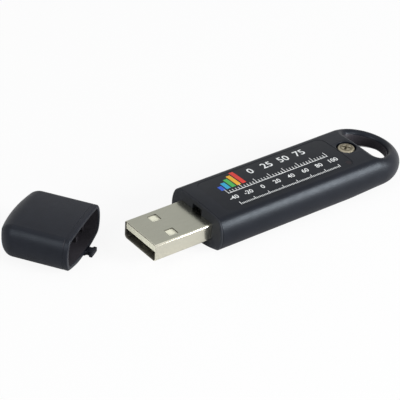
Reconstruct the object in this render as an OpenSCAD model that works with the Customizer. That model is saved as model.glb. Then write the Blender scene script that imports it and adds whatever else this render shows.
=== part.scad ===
// Temperature data logger: a tapered plastic stick with a plug on its front, a keyring loop on its
// tail and a push-on cap, which lies turned beside the plug as it does when it has been taken off.
// X runs from the plug to the tail, Z is up, and the origin is the middle of the flat that the
// case rests on. All lengths are in millimetres.

/* [Case] */
// Length of the case from the foot of its front face to the end of its tail
case_len = 59.3; // [57.7:0.1:66.7]
// Width of the case at its widest line
case_w = 19.2; // [19:0.1:22]
// Height of the case from its resting flat to the crown of its top
case_h = 9.6; // [9.4:0.1:12]
// Thickness of the moulded wall
wall = 1.2; // [1:0.05:1.3]
// How far in from the sides the rounding of the two long top edges reaches
edge_r = 2.5; // [2:0.1:3]
// Rise of the crown across the top face
crown_rise = 0.3; // [0.2:0.05:0.5]
// Height of the widest line of the sides
waist_z = 4.9; // [4:0.1:5.5]
// How far the sides round in from their widest line to the edges of the underside
side_lean = 1.3; // [1.2:0.05:1.8]
// Height of the edges of the underside above the resting flat
belly_rise = 1.25; // [1.2:0.05:1.6]
// Width of the flat strip under the case
rest_w = 5; // [3:0.5:7]

/* [Front] */
// Thickness of the bezel that closes the front of the case
bezel_t = 1; // [1:0.1:2]
// How far the top of the bezel leans back from its foot
front_rake = 0.6; // [0.2:0.1:0.8]
// Depth of the collar that the bezel pushes into the case
collar_len = 2; // [1.7:0.1:2.4]
// Width of the latch notch over the plug
notch_w = 3.4; // [2:0.1:4]
// Height of the latch notch over the plug
notch_h = 1.45; // [1:0.05:1.6]
// Depth of the latch notch, back from the front face
notch_len = 2.2; // [1.4:0.1:2.4]

/* [Tail loop] */
// Distance from the end of the tail to the ridge where the top face stops
ridge_run = 11; // [10.7:0.1:11.7]
// How far the top of the loop lies under the top face
tail_drop = 2.3; // [1.5:0.1:2.5]
// How far the underside rises under the loop
tail_lift = 1.2; // [0.6:0.1:1.4]
// Distance from the end of the tail to where the underside starts to rise
lift_run = 19.2; // [17:0.2:22]
// Width of the rim round the loop's hole
loop_rim = 3; // [2.5:0.1:3.5]
// Thickness of the rim at the edge of the hole
loop_t = 2.5; // [2:0.1:3]
// Width of the rim's lower edge outside its hollowed underside
loop_foot = 0.9; // [0.6:0.1:1.2]
// Wall between the inside of the case and the loop's hole
tail_wall = 1.2; // [1:0.1:1.5]

/* [Label] */
// Distance from each side of the case to the label
label_side_gap = 2.9; // [2.8:0.1:4.5]
// Distance from the label to the sink of the screw
label_end_gap = 0.25; // [0.2:0.05:8]
// Radius of the label's corners
label_corner = 1.8; // [0.5:0.1:3]
// Thickness of the label
label_t = 0.15; // [0.1:0.01:0.2]
// Depth of the recess that the label lies in
label_recess = 0.2; // [0.2:0.01:0.3]
// Distance from the front of the case to the label
label_gap = 4.6; // [3:0.1:5]

/* [Plug] */
// Width of the plug's shell
plug_w = 12; // [11:0.1:13]
// Height of the plug's shell
plug_h = 4.5; // [4.2:0.1:4.8]
// Length of the plug outside the case
plug_out = 15.3; // [12:0.1:16]
// Length of the plug's shell inside the case
plug_in = 3.6; // [3.2:0.1:4]
// Thickness of the plug's sheet metal
plug_wall = 0.3; // [0.2:0.05:0.4]
// Height of the plug's centre line above the resting flat
plug_z = 4.85; // [4.7:0.05:5]
// Radius of the plug's folded edges
plug_fold_r = 0.45; // [0.35:0.05:0.6]
// Length of each latch window, along the plug
window_len = 2.2; // [1.5:0.1:2.6]
// Width of each latch window, across the plug
window_w = 2.3; // [1.5:0.1:2.6]
// Distance between the centres of the two windows
window_pitch = 6.5; // [5.5:0.1:7]
// Distance from the plug's mouth to the centres of the windows
window_back = 6.2; // [5:0.1:7]
// Thickness of the plastic tongue in the plug
tongue_t = 1.8; // [1.6:0.05:2]
// How far the tongue stays behind the plug's mouth
tongue_back = 0.3; // [0.2:0.1:1]
// Length of the plastic block behind the plug's shell
block_len = 1; // [0.8:0.1:1.2]
// Width of each contact
contact_w = 1; // [0.8:0.1:1.2]
// Thickness of each contact
contact_t = 0.2; // [0.15:0.01:0.25]
// Distance between the two inner contacts
contact_inner = 2; // [1.8:0.1:2.4]
// Distance between the two outer contacts
contact_outer = 7; // [6.5:0.1:7.5]
// How far the contacts lap under the board
contact_lap = 2.2; // [1.5:0.1:2.5]

/* [Circuit board] */
// Thickness of the board
board_t = 1; // [0.8:0.1:1.1]
// Distance from each side of the case to the board
board_side_gap = 2.3; // [2.2:0.1:2.6]
// Gap between the board's nose and each solder tab of the plug
nose_gap = 0.2; // [0.1:0.05:1]
// Side of the microcontroller's body
chip_w = 5; // [4:0.1:6]
// Height of the microcontroller's body
chip_h = 1; // [0.8:0.1:1.2]
// Legs on each side of the microcontroller
chip_legs = 6; // [4:1:6]
// Length of the memory chip's body
memory_len = 4.9; // [4:0.1:5.2]
// Width of the memory chip's body
memory_w = 3.9; // [3:0.1:4.2]
// Height of the memory chip's body
memory_h = 1.3; // [1:0.1:1.4]
// Legs on each long side of the memory chip
memory_legs = 4; // [3:1:4]
// Length of the crystal's can
crystal_len = 3.2; // [2.5:0.1:4]
// Width of the crystal's can
crystal_w = 1.5; // [1.2:0.1:2.5]
// Height of the crystal's can
crystal_h = 0.9; // [0.6:0.1:1.2]
// Length of a small three-legged part's body
small_len = 2.9; // [2.4:0.1:3.2]
// Width of a small three-legged part's body
small_w = 1.3; // [1:0.1:1.6]
// Height of a small three-legged part's body
small_h = 1; // [0.8:0.1:1.2]
// Length of a resistor, capacitor or light
passive_len = 1.6; // [1.2:0.1:1.8]
// Width of a resistor, capacitor or light
passive_w = 0.8; // [0.6:0.05:1]
// Height of a resistor
resistor_h = 0.45; // [0.3:0.05:0.6]
// Height of a capacitor
capacitor_h = 0.8; // [0.5:0.05:1]
// Height of a light
led_h = 0.6; // [0.4:0.05:0.8]
// Radius of the temperature sensor's bead
bead_r = 0.6; // [0.5:0.05:0.7]
// Length of the temperature sensor's bead
bead_len = 2; // [1.5:0.1:2.4]
// Radius of the sensor's wires
wire_r = 0.15; // [0.1:0.01:0.2]
// Radius of the light pipe over the lights
pipe_r = 0.7; // [0.5:0.05:0.9]

/* [Coin cell] */
// Diameter of the coin cell
cell_d = 12.5; // [11.6:0.1:12.5]
// Thickness of the coin cell
cell_t = 2; // [1.6:0.1:2]
// Thickness of the spring strips that touch the cell
strip_t = 0.2; // [0.15:0.01:0.2]
// Width of the spring strips
strip_w = 4; // [3:0.1:5]

/* [Screw] */
// Diameter of the screw's thread
screw_d = 2; // [1.8:0.1:2.2]
// Length of the screw under its head
screw_len = 4.5; // [4:0.1:5]
// Diameter of the screw's head
head_d = 4.2; // [3.8:0.1:4.4]
// Height of the screw's head
head_h = 1.1; // [0.9:0.1:1.2]
// Diameter of the sink in the case round the head
sink_d = 4.9; // [4.6:0.1:5]
// Distance from the end of the tail to the screw
screw_run = 14.4; // [14.4:0.1:15.2]
// Outer diameter of the brass insert
insert_d = 2.9; // [2.6:0.1:3]
// Length of the brass insert
insert_len = 3; // [2.5:0.1:3.4]

/* [Cap] */
// Length of the cap from its mouth to its closed end
cap_len = 17.5; // [17.2:0.1:22]
// Thickness of the cap's walls
cap_wall = 1.1; // [0.9:0.05:1.3]
// Radius of the cap's closed end
cap_end_r = 3.6; // [2:0.1:4]
// Length of the latch tab under the cap's mouth
tab_len = 2; // [1.4:0.1:2.2]
// Width of the tab's head
tab_head_w = 3; // [2.6:0.1:3.6]
// Width of the tab's neck
tab_neck_w = 1.9; // [1.4:0.1:2]
// Distance from the centre line sideways to the middle of the tab
tab_aside = 1.6; // [0:0.1:2]
// Thickness of the ribs that hold the plug in the cap
rib_t = 0.8; // [0.6:0.1:1]
// How far the ribs stay behind the cap's mouth
rib_back = 3; // [2:0.1:6]
// Distance from the front of the case forward to the middle of the cap's mouth
cap_ahead = 25.2; // [24:0.1:40]
// Distance from the centre line of the case sideways to the middle of the cap's mouth
cap_aside = 7.8; // [5:0.1:20]
// Turn of the cap from the way it sits on the plug, in degrees
cap_turn = -57; // [-60:1:-40]

/* [Fits] */
// Gap round a piece that pushes into the case
slide_fit = 0.15; // [0.1:0.01:0.2]
// Gap at a seam between two visible pieces
seam_gap = 0.06; // [0.04:0.01:0.12]
// Gap round a pressed or threaded piece
press_gap = 0.03; // [0.02:0.01:0.05]

/* [Hidden] */

$fn = 48;
belly_steps = 5;
side_steps = 4;
edge_steps = 7;
crown_steps = 3;
end_steps = 4;
tail_steps = 12;
// Angle from the widest line of a side down to the edge of the underside
side_turn = 78;
// Overrun of every cut past the face that it opens
cut = case_w / 10;

front_x = -case_len / 2;
tail_x = case_len / 2;
ridge_x = tail_x - ridge_run;
lift_x = tail_x - lift_run;
tail_cx = tail_x - case_w / 2;
cavity_end_x = ridge_x - tail_wall;
shoulder_z = case_h - crown_rise - edge_r;
sleeve_x = front_x + bezel_t;
collar_x = front_x + (front_rake + bezel_t - seam_gap) / 2;
collar_end_x = sleeve_x + collar_len;
screw_x = tail_x - screw_run;
hole_r = case_w / 2 - loop_rim;
loop_under_z = case_h - tail_drop - edge_r / 4 - loop_t;

// Plug: its floor, its tongue and the contacts on the tongue's lower face
plug_low_z = plug_z - plug_h / 2;
plug_high_z = plug_z + plug_h / 2;
plug_tip_x = front_x - plug_out;
plug_rear_x = front_x + plug_in;
block_end_x = plug_rear_x + block_len;
tongue_z = plug_high_z - plug_wall - tongue_t;
tongue_w = plug_w - 2 * plug_wall - 2 * press_gap;
solder_tab_len = plug_in;

// Board: it lies on the contacts' tails and on the chassis rails
board_z = tongue_z + contact_t;
board_top_z = board_z + board_t;
board_x = block_end_x + slide_fit;
board_w = case_w - 2 * board_side_gap;
nose_w = plug_w - 2 * plug_wall - 2 * nose_gap;
board_end_x = cavity_end_x - 2 * slide_fit;
nose_end_x = plug_rear_x + solder_tab_len + 2 * slide_fit;

// Chassis: a tray with rails, a ring round the coin cell and a boss for the screw
rail_w = wall * 3 / 4;
rail_y = board_w / 2 - rail_w;
cell_z = board_z - strip_t - press_gap - cell_t;
tray_top_z = cell_z - 2 * strip_t;
cell_x = board_x + cell_d;
ring_r = cell_d / 2 + slide_fit;
ring_top_z = cell_z + cell_t / 2;
boss_r = insert_d / 2 + wall / 2;
seat_z = case_h - head_h;
pad_z = seat_z - wall;
boss_top_z = pad_z - seam_gap;
pad_r = sink_d / 2 + wall / 2;
tray_end_x = screw_x + boss_r;

label_x = front_x + label_gap;
label_len = screw_x - sink_d / 2 - label_end_gap - label_x;
label_w = case_w - 2 * label_side_gap;
pipe_x = label_x + label_len - 1.5 * pipe_r;
pipe_y = -label_w / 2 + 2 * pipe_r;
pipe_low_z = board_top_z + led_h + press_gap;

// Places along the board, counted from the end of its nose
microcontroller_x = nose_end_x + 2 * small_len + chip_w;
memory_x = microcontroller_x + chip_w + memory_len / 2 + small_w;
crystal_x = microcontroller_x;
crystal_y = chip_w / 2 + chip_h + crystal_w / 2;
diode_x = nose_end_x + small_len;
regulator_x = memory_x + memory_len;
sensor_x = screw_x - boss_r - bead_len / 2;
sensor_y = board_w / 2 - 2 * bead_r;

// Points of an oval about c with half its width and height in r, from angle a to angle b
function arc(c, r, a, b, steps, first = 0) =
    [for (i = [first : steps]) let (t = a + (b - a) * i / steps)
        [c.x + r.x * cos(t), c.y + r.y * sin(t)]];

// Right half of the cross-section, from the middle of its floor up to the middle of its crown
// The sides round off above and below their widest line, which lies at the waist
function half_section(w, h, r, rest) =
    let (
        belly = belly_rise * h / case_h,
        crown = crown_rise * h / case_h,
        waist = waist_z * h / case_h,
        corner_y = w / 2 - side_lean * h / case_h,
        flat = rest / 2,
        belly_c = (corner_y * corner_y - flat * flat + belly * belly) / (2 * belly),
        belly_r = sqrt(flat * flat + belly_c * belly_c),
        side = [(w / 2 - corner_y) / (1 - cos(side_turn)), (waist - belly) / sin(side_turn)],
        top_y = w / 2 - r,
        crown_r = (top_y * top_y + crown * crown) / (2 * crown)
    )
    concat(
        arc([0, belly_c], [belly_r, belly_r], atan2(-belly_c, flat),
            atan2(belly - belly_c, corner_y), belly_steps),
        arc([w / 2 - side.x, waist], side, -side_turn, 0, side_steps, 1),
        arc([top_y, waist], [r, h - crown - waist], 0, 90, edge_steps, 1),
        arc([0, h - crown_r], [crown_r, crown_r], acos(top_y / crown_r), 90, crown_steps, 1)
    );

// Cross-section of the case or the cap, set in by d all round
function section_points(d) =
    let (half = half_section(case_w - 2 * d, case_h - 2 * d, max(edge_r - d, edge_r / 4),
                             rest_w - rest_w * d / case_h))
    [for (p = concat(half, [for (i = [len(half) - 2 : -1 : 0]) [-half[i].x, half[i].y]]))
        [p.x, p.y + d]];

module section(d = 0) {
    polygon(section_points(d));
}

// Points numbered centre_j lie on the middle of the crown, the others mirror each other round it
centre_j = belly_steps + side_steps + edge_steps + crown_steps;
profile_n = 2 * centre_j + 1;

// How far the top drops and the underside rises at a place along the case
function top_drop(x) = tail_drop * max(0, x - ridge_x) / ridge_run;
function floor_lift(x) = tail_lift * max(0, x - lift_x) / lift_run;
function shaped(x, y, z) =
    [x, y, z + floor_lift(x) - (floor_lift(x) + top_drop(x)) * z / case_h];

// Triangles between neighbouring rings of points, each point numbered by the list at
function skin(at) = [for (k = [0 : len(at) - 2]) for (j = [0 : profile_n - 1])
    let (i = (j + 1) % profile_n)
    for (t = [[at[k][j], at[k + 1][j], at[k][i]], [at[k][i], at[k + 1][j], at[k + 1][i]]])
        if (t[0] != t[1] && t[1] != t[2] && t[2] != t[0]) t];

function ring_numbers(count) =
    [for (k = [0 : count - 1]) [for (j = [0 : profile_n - 1]) k * profile_n + j]];

// Solid through cross-sections, each given as [its place along X, how far it is set in]
module loft(rings) {
    at = ring_numbers(len(rings));
    last = at[len(at) - 1];
    polyhedron([for (ring = rings) for (p = section_points(ring[1])) shaped(ring[0], p.x, p.y)],
               concat(skin(at), [at[0]], [[for (j = [profile_n - 1 : -1 : 0]) last[j]]]));
}

// Stands a flat shape up across the case and stretches it along X
module along_x(from, to) {
    translate([from, 0, 0]) rotate([90, 0, 90]) linear_extrude(to - from) children();
}

// Everything between two places along X
module span_x(from, to) {
    translate([from, -case_w, -case_h]) cube([to - from, 2 * case_w, 3 * case_h]);
}

module box(from, to) {
    translate(from) cube(to - from);
}

// Outer shape of the case behind its bezel: straight rings, then rings that swing round the tail
module case_block() {
    profile = section_points(0);
    straight = [for (x = [sleeve_x, lift_x, ridge_x, tail_cx]) [for (p = profile)
        shaped(x, p.x, p.y)]];
    swung = [for (i = [1 : tail_steps]) let (t = 90 * i / tail_steps) [for (p = profile)
        shaped(tail_cx + abs(p.x) * sin(t), p.x * cos(t), p.y)]];
    rings = concat(straight, swung);
    // The crown's middle stays one point round the tail, and the last ring folds onto itself
    at = [for (k = [0 : len(rings) - 1]) [for (j = [0 : profile_n - 1])
        (k > 3 && j == centre_j ? 3 : k) * profile_n
            + (k == len(rings) - 1 && j > centre_j ? 2 * centre_j - j : j)]];
    polyhedron([for (ring = rings) each ring], concat(skin(at), [at[0]]));
}

// Inner shape of the case, set in by d, whose floor rises with the tail
module inner_block(d, from, to) {
    loft([[from, d], [lift_x, d], [to, d]]);
}

// Outline of the label, grown by g all round
module label_outline(g = 0) {
    r = label_corner + g;
    translate([label_x - g, -label_w / 2 - g]) {
        translate([r, 0]) square([label_len + 2 * g - 2 * r, label_w + 2 * g]);
        translate([0, r]) square([label_len + 2 * g, label_w + 2 * g - 2 * r]);
        for (x = [r, label_len + 2 * g - r], y = [r, label_w + 2 * g - r])
            translate([x, y]) circle(r);
    }
}

// Band of the crown between two depths under the top face
module crown_band(upper, lower) {
    difference() {
        translate([0, -upper]) section();
        translate([0, -lower]) section();
    }
}

// Keyring hole: flat at the ridge, round at the tail, wider underneath
module loop_hole() {
    foot_r = case_w / 2 - loop_foot;
    foot_z = belly_rise + tail_lift;
    intersection() {
        translate([tail_cx, 0, 0]) rotate_extrude()
            polygon([[0, -cut], [foot_r, -cut], [foot_r, foot_z], [hole_r, loop_under_z],
                     [hole_r, case_h + cut], [0, case_h + cut]]);
        span_x(ridge_x, tail_x + cut);
    }
}

module case_sleeve() {
    color([0.09, 0.10, 0.12]) difference() {
        case_block();
        difference() {
            inner_block(wall, front_x, cavity_end_x);
            // Pad under the screw's head, and four stops that keep the board down
            translate([screw_x, 0, pad_z]) cylinder(r = pad_r, h = case_h);
            for (x = [nose_end_x + small_len, screw_x - 3 * pad_r], side = [-1, 1])
                translate([x, side * (board_w / 2 - rail_w / 2), board_top_z + press_gap])
                    translate([0, -rail_w / 2, 0]) cube([2 * rail_w, rail_w, case_h]);
        }
        loop_hole();
        translate([screw_x, 0, seat_z]) cylinder(d = sink_d, h = head_h + cut);
        translate([screw_x, 0, case_h / 2]) cylinder(d = screw_d + 2 * slide_fit, h = case_h);
        translate([pipe_x, pipe_y, board_top_z]) cylinder(r = pipe_r + press_gap, h = case_h);
        intersection() {
            translate([0, 0, case_h / 2]) linear_extrude(case_h) label_outline(seam_gap);
            along_x(front_x, tail_x) difference() {
                translate([-case_w, shoulder_z]) square([2 * case_w, case_h]);
                translate([0, -label_recess]) section();
            }
        }
        tab_slot();
    }
}

// Slot under the plug for the cap's latch tab, wide enough for the tab's head
module tab_slot() {
    slot_w = tab_head_w + 4 * slide_fit;
    box([front_x - cut, tab_aside - slot_w / 2, -cut],
        [front_x + tab_len + 2 * slide_fit, tab_aside + slot_w / 2, cap_wall + slide_fit]);
}

module bezel() {
    rake = atan(front_rake / case_h);
    difference() {
        along_x(front_x, sleeve_x - seam_gap) section();
        translate([front_x, 0, 0]) rotate([0, rake, 0])
            translate([-case_w, -case_w, -case_h]) cube([case_w, 2 * case_w, 3 * case_h]);
    }
}

module chassis() {
    color([0.10, 0.11, 0.13]) difference() {
        union() {
            bezel();
            intersection() {
                inner_block(wall + slide_fit, collar_x, cavity_end_x);
                union() {
                    span_x(front_x, collar_end_x);
                    box([sleeve_x, -case_w, 0], [tray_end_x, case_w, tray_top_z]);
                    for (side = [-1, 1])
                        translate([sleeve_x, side * (rail_y + rail_w / 2) - rail_w / 2, 0])
                            cube([tray_end_x - sleeve_x, rail_w, board_z - press_gap]);
                    translate([cell_x, 0, 0]) cylinder(r = ring_r + rail_w, h = ring_top_z);
                    translate([screw_x, 0, 0]) cylinder(r = boss_r, h = boss_top_z);
                }
            }
        }
        // Room for the plug's shell, the block behind it and the board's nose
        translate([front_x - cut, -plug_w / 2 - press_gap, plug_low_z - press_gap])
            cube([plug_in + 2 * cut, plug_w + 2 * press_gap, plug_h + 2 * press_gap]);
        // Latch notch over the plug
        box([front_x - cut, -notch_w / 2, plug_z],
            [front_x + notch_len, notch_w / 2, plug_high_z + notch_h]);
        tab_slot();
        // Pocket for the coin cell, and a gap in its ring for the lower strip
        translate([cell_x, 0, tray_top_z]) cylinder(r = ring_r, h = case_h);
        box([cell_x, -strip_w / 2 - slide_fit, tray_top_z],
            [cell_x + ring_r + 2 * rail_w, strip_w / 2 + slide_fit, case_h]);
        translate([screw_x, 0, boss_top_z - insert_len]) cylinder(d = insert_d, h = case_h);
        translate([screw_x, 0, seat_z - screw_len - 2 * press_gap])
            cylinder(d = screw_d + 2 * press_gap, h = case_h);
    }
}

module label() {
    color([0.05, 0.05, 0.06]) difference() {
        intersection() {
            translate([0, 0, case_h / 2]) linear_extrude(case_h) label_outline();
            along_x(front_x, tail_x) crown_band(label_recess - label_t, label_recess);
        }
        translate([pipe_x, pipe_y, 0]) cylinder(r = pipe_r + press_gap, h = 2 * case_h);
    }
}

module light_pipe() {
    color([0.16, 0.10, 0.11]) intersection() {
        translate([pipe_x, pipe_y, pipe_low_z]) cylinder(r = pipe_r, h = case_h);
        along_x(front_x, tail_x) translate([0, label_t - label_recess]) section();
    }
}

module case_screw() {
    slot_l = head_d * 0.62;
    slot_w = head_d / 7;
    slot_h = head_h * 0.55;
    dome_h = head_h / 5;
    dome_r = (head_d * head_d / 4 + dome_h * dome_h) / (2 * dome_h);
    color([0.72, 0.70, 0.62]) translate([screw_x, 0, seat_z]) difference() {
        union() {
            translate([0, 0, -screw_len]) cylinder(d = screw_d, h = screw_len);
            intersection() {
                cylinder(d = head_d, h = head_h);
                translate([0, 0, head_h - dome_r]) sphere(dome_r, $fn = 96);
            }
        }
        for (turn = [35, 125]) rotate([0, 0, turn])
            translate([-slot_l / 2, -slot_w / 2, head_h - slot_h])
                cube([slot_l, slot_w, head_h]);
    }
}

module threaded_insert() {
    color([0.80, 0.66, 0.35]) translate([screw_x, 0, boss_top_z - insert_len]) difference() {
        cylinder(d = insert_d - 2 * press_gap, h = insert_len);
        translate([0, 0, -cut]) cylinder(d = screw_d + 2 * press_gap, h = insert_len + 2 * cut);
    }
}

// Rectangle across the plug with folded corners, set in by d
module plug_section(d = 0) {
    w = plug_w - 2 * d;
    h = plug_h - 2 * d;
    r = max(plug_fold_r - d, plug_fold_r / 4);
    translate([0, plug_z]) {
        square([w - 2 * r, h], center = true);
        square([w, h - 2 * r], center = true);
        for (y = [-1, 1], z = [-1, 1]) translate([y * (w / 2 - r), z * (h / 2 - r)]) circle(r);
    }
}

module usb_shell() {
    color([0.78, 0.79, 0.80]) {
        difference() {
            along_x(plug_tip_x, plug_rear_x) difference() {
                plug_section();
                plug_section(plug_wall);
            }
            // Two latch windows on the top and two underneath
            for (side = [-1, 1])
                translate([plug_tip_x + window_back, side * window_pitch / 2, 0])
                    translate([-window_len / 2, -window_w / 2, 0])
                        cube([window_len, window_w, case_h]);
            for (side = [-1, 1])
                translate([plug_tip_x + window_back, side * window_pitch / 2, -cut])
                    translate([-window_len / 2, -window_w / 2, 0])
                        cube([window_len, window_w, plug_z + cut]);
        }
        // Solder tabs beside the board's nose
        for (side = [-1, 1])
            translate([plug_rear_x - plug_wall, side * (plug_w - plug_wall) / 2 - plug_wall / 2,
                       board_z - board_t])
                cube([solder_tab_len + plug_wall, plug_wall, 2 * board_t]);
    }
}

function contact_places() = [-contact_outer / 2, -contact_inner / 2,
                             contact_inner / 2, contact_outer / 2];

module contact_strips(grow) {
    long = plug_out - 2 * tongue_back;
    for (y = contact_places()) {
        short_by = abs(y) < contact_outer / 2 ? contact_w : 0;
        from = front_x - long + window_len / 2 + short_by;
        box([from - grow, y - contact_w / 2 - grow, tongue_z - grow],
            [board_x + contact_lap, y + contact_w / 2 + grow, board_z - press_gap]);
    }
}

module usb_tongue() {
    inner_h = plug_h - 2 * plug_wall - 2 * press_gap;
    color([0.93, 0.90, 0.78]) difference() {
        union() {
            box([plug_tip_x + tongue_back, -tongue_w / 2, tongue_z],
                [block_end_x, tongue_w / 2, tongue_z + tongue_t - press_gap]);
            box([front_x - plug_in / 2, -tongue_w / 2, plug_z - inner_h / 2],
                [block_end_x, tongue_w / 2, plug_z + inner_h / 2]);
        }
        contact_strips(press_gap / 2);
        // Slots beside the shell's solder tabs
        for (side = [-1, 1])
            translate([plug_rear_x - 2 * plug_wall, side * tongue_w / 2 - plug_wall, 0])
                cube([block_len + cut, 2 * plug_wall, case_h]);
    }
}

module usb_contacts() {
    color([0.85, 0.70, 0.35]) contact_strips(0);
}

module circuit_board() {
    side_y = board_w / 2;
    color([0.07, 0.32, 0.16]) translate([0, 0, board_z]) difference() {
        union() {
            box([board_x, -nose_w / 2, 0], [board_end_x, nose_w / 2, board_t]);
            box([nose_end_x, -side_y, 0], [board_end_x, side_y, board_t]);
        }
        // The board's tail forks round the screw boss and the pad
        translate([screw_x, 0, -cut]) cylinder(r = boss_r + slide_fit, h = case_h);
        box([screw_x, -boss_r - slide_fit, -cut], [tail_x, boss_r + slide_fit, case_h]);
    }
}

// A moulded chip with legs on both long sides, standing on the board
module legged_chip(x, y, size, legs, leg_pitch) {
    leg_w = leg_pitch / 2;
    leg_t = size.z / 8;
    leg_out = size.y / 2 + size.z / 2;
    translate([x, y, board_top_z]) {
        translate([-size.x / 2, -size.y / 2, leg_t]) cube([size.x, size.y, size.z - leg_t]);
        for (i = [0 : legs - 1])
            translate([(i - (legs - 1) / 2) * leg_pitch - leg_w / 2, -leg_out, 0])
                cube([leg_w, 2 * leg_out, 2 * leg_t]);
    }
}

module microcontroller() {
    leg_pitch = chip_w / (chip_legs + 1);
    color([0.12, 0.12, 0.13]) {
        legged_chip(microcontroller_x, 0, [chip_w, chip_w, chip_h], chip_legs, leg_pitch);
        translate([microcontroller_x, 0, 0]) rotate([0, 0, 90])
            legged_chip(0, 0, [chip_w, chip_w, chip_h], chip_legs, leg_pitch);
    }
}

module memory_chip() {
    leg_pitch = memory_len / memory_legs;
    color([0.12, 0.12, 0.13])
        legged_chip(memory_x, 0, [memory_len, memory_w, memory_h], memory_legs, leg_pitch);
}

// A small body with two legs on one side and one on the other
module small_part(x, y) {
    leg_w = small_len / 7;
    leg_t = small_h / 8;
    translate([x, y, board_top_z]) {
        translate([-small_w / 2, -small_len / 2, leg_t])
            cube([small_w, small_len, small_h - leg_t]);
        for (leg = [[-1, -1], [-1, 1], [1, 0]])
            translate([leg.x * small_w / 2 - small_w / 4, leg.y * small_len / 3 - leg_w / 2, 0])
                cube([small_w / 2, leg_w, 2 * leg_t]);
    }
}

module voltage_regulator() {
    color([0.12, 0.12, 0.13]) small_part(regulator_x, 0);
}

module surge_diode() {
    color([0.12, 0.12, 0.13]) small_part(diode_x, 0);
}

module crystal() {
    color([0.75, 0.75, 0.76])
        translate([crystal_x - crystal_len / 2, crystal_y - crystal_w / 2, board_top_z])
            cube([crystal_len, crystal_w, crystal_h]);
}

module thermistor() {
    color([0.15, 0.15, 0.17]) {
        translate([sensor_x, sensor_y, board_top_z + bead_r]) rotate([0, 90, 0])
            cylinder(r = bead_r, h = bead_len, center = true);
        for (side = [-1, 1])
            translate([sensor_x - 2 * bead_len, sensor_y + side * bead_r / 2,
                       board_top_z + wire_r])
                rotate([0, 90, 0]) cylinder(r = wire_r, h = 1.5 * bead_len + wire_r);
    }
}

module passive(x, y, h) {
    translate([x - passive_len / 2, y - passive_w / 2, board_top_z])
        cube([passive_len, passive_w, h]);
}

module red_led() {
    color([0.85, 0.25, 0.20]) passive(pipe_x, pipe_y + passive_w * 0.55, led_h);
}

module green_led() {
    color([0.35, 0.80, 0.35]) passive(pipe_x, pipe_y - passive_w * 0.55, led_h);
}

// Two rows of small parts, one on each side of the board
module resistors() {
    color([0.10, 0.10, 0.11])
        for (i = [0 : 4])
            passive(microcontroller_x + (i - 1) * 1.6 * passive_len, -board_w / 2 + 2 * passive_w,
                    resistor_h);
}

module capacitors() {
    color([0.62, 0.50, 0.36])
        for (i = [0 : 3])
            passive(nose_end_x + (0.6 + 1.5 * i) * passive_len, board_w / 2 - 2 * passive_w,
                    capacitor_h);
}

module coin_cell() {
    rim_h = cell_t * 0.8;
    color([0.80, 0.81, 0.82]) translate([cell_x, 0, cell_z]) {
        translate([0, 0, cell_t - rim_h]) cylinder(d = cell_d, h = rim_h);
        cylinder(d = cell_d * 0.85, h = cell_t);
    }
}

// Upper strip: it hangs under the board and lies across the top of the cell
module battery_clip() {
    clip_z = cell_z + cell_t;
    color([0.80, 0.78, 0.70])
        translate([cell_x, 0, clip_z])
            translate([-strip_w / 2, -cell_d / 2, 0]) cube([strip_w, cell_d, strip_t]);
}

// Lower strip: it runs under the cell and turns up to the board behind it
module battery_contact() {
    riser_x = cell_x + ring_r + rail_w;
    color([0.80, 0.78, 0.70]) {
        box([cell_x - strip_w, -strip_w / 2, tray_top_z], [riser_x, strip_w / 2,
            tray_top_z + strip_t]);
        box([riser_x - strip_t, -strip_w / 2, tray_top_z], [riser_x, strip_w / 2, board_z]);
        translate([cell_x, 0, tray_top_z]) cylinder(d = strip_w / 2, h = cell_z - tray_top_z);
    }
}

// Shape of the cap or its hollow, set in by d, with its mouth at X = 0 and its closed end rounded
module cap_block(d, mouth) {
    r = cap_end_r - d;
    loft(concat([for (i = [end_steps : -1 : 0]) let (turn = 90 * i / end_steps)
        [-cap_len + cap_end_r - r * sin(turn), d + r * (1 - cos(turn))]], [[mouth, d]]));
}

// Latch tab: a T with rounded undercuts, in the curve of the cap's floor
module latch_tab() {
    bite_r = (tab_head_w - tab_neck_w) / 2;
    intersection() {
        linear_extrude(case_h / 2) translate([0, tab_aside]) difference() {
            translate([-cap_wall, -tab_head_w / 2]) square([tab_len + cap_wall, tab_head_w]);
            for (side = [-1, 1])
                translate([tab_len / 2 - bite_r / 2, side * tab_head_w / 2]) circle(bite_r);
        }
        along_x(-cap_wall, tab_len) difference() {
            section(press_gap);
            section(cap_wall - press_gap);
        }
    }
}

module cap_shell() {
    rib_x = -cap_len;
    grip_y = plug_w / 2 + slide_fit;
    color([0.07, 0.08, 0.10])
    translate([front_x - cap_ahead, cap_aside, 0]) rotate([0, 0, cap_turn]) {
        difference() {
            cap_block(0, 0);
            cap_block(cap_wall, cut);
        }
        // Ribs that hold the plug on both sides, above and below
        intersection() {
            cap_block(cap_wall / 2, -rib_back);
            difference() {
                union() {
                    for (side = [-1, 1])
                        translate([rib_x, side * (grip_y + rib_t / 2) - rib_t / 2,
                                   0])
                            cube([cap_len, rib_t, case_h]);
                    for (side = [-1, 1])
                        translate([rib_x, side * plug_w / 4 - rib_t / 2, 0])
                            cube([cap_len, rib_t, case_h]);
                }
                along_x(rib_x, cut) translate([-grip_y, plug_low_z - slide_fit])
                    square([2 * grip_y, plug_h + 2 * slide_fit]);
            }
        }
        latch_tab();
    }
}

case_sleeve();
chassis();
label();
light_pipe();
case_screw();
threaded_insert();
usb_shell();
usb_tongue();
usb_contacts();
circuit_board();
microcontroller();
memory_chip();
voltage_regulator();
surge_diode();
crystal();
thermistor();
red_led();
green_led();
resistors();
capacitors();
coin_cell();
battery_clip();
battery_contact();
cap_shell();
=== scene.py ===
# Temperature data logger: a smooth moulded case with a keyring loop, a printed label, a screw, a
# plug and the loose cap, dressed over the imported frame.
# Shapes are drawn in millimetres and stored in metres.
import math

import bmesh
import bpy
from mathutils import Matrix, Vector


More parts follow.
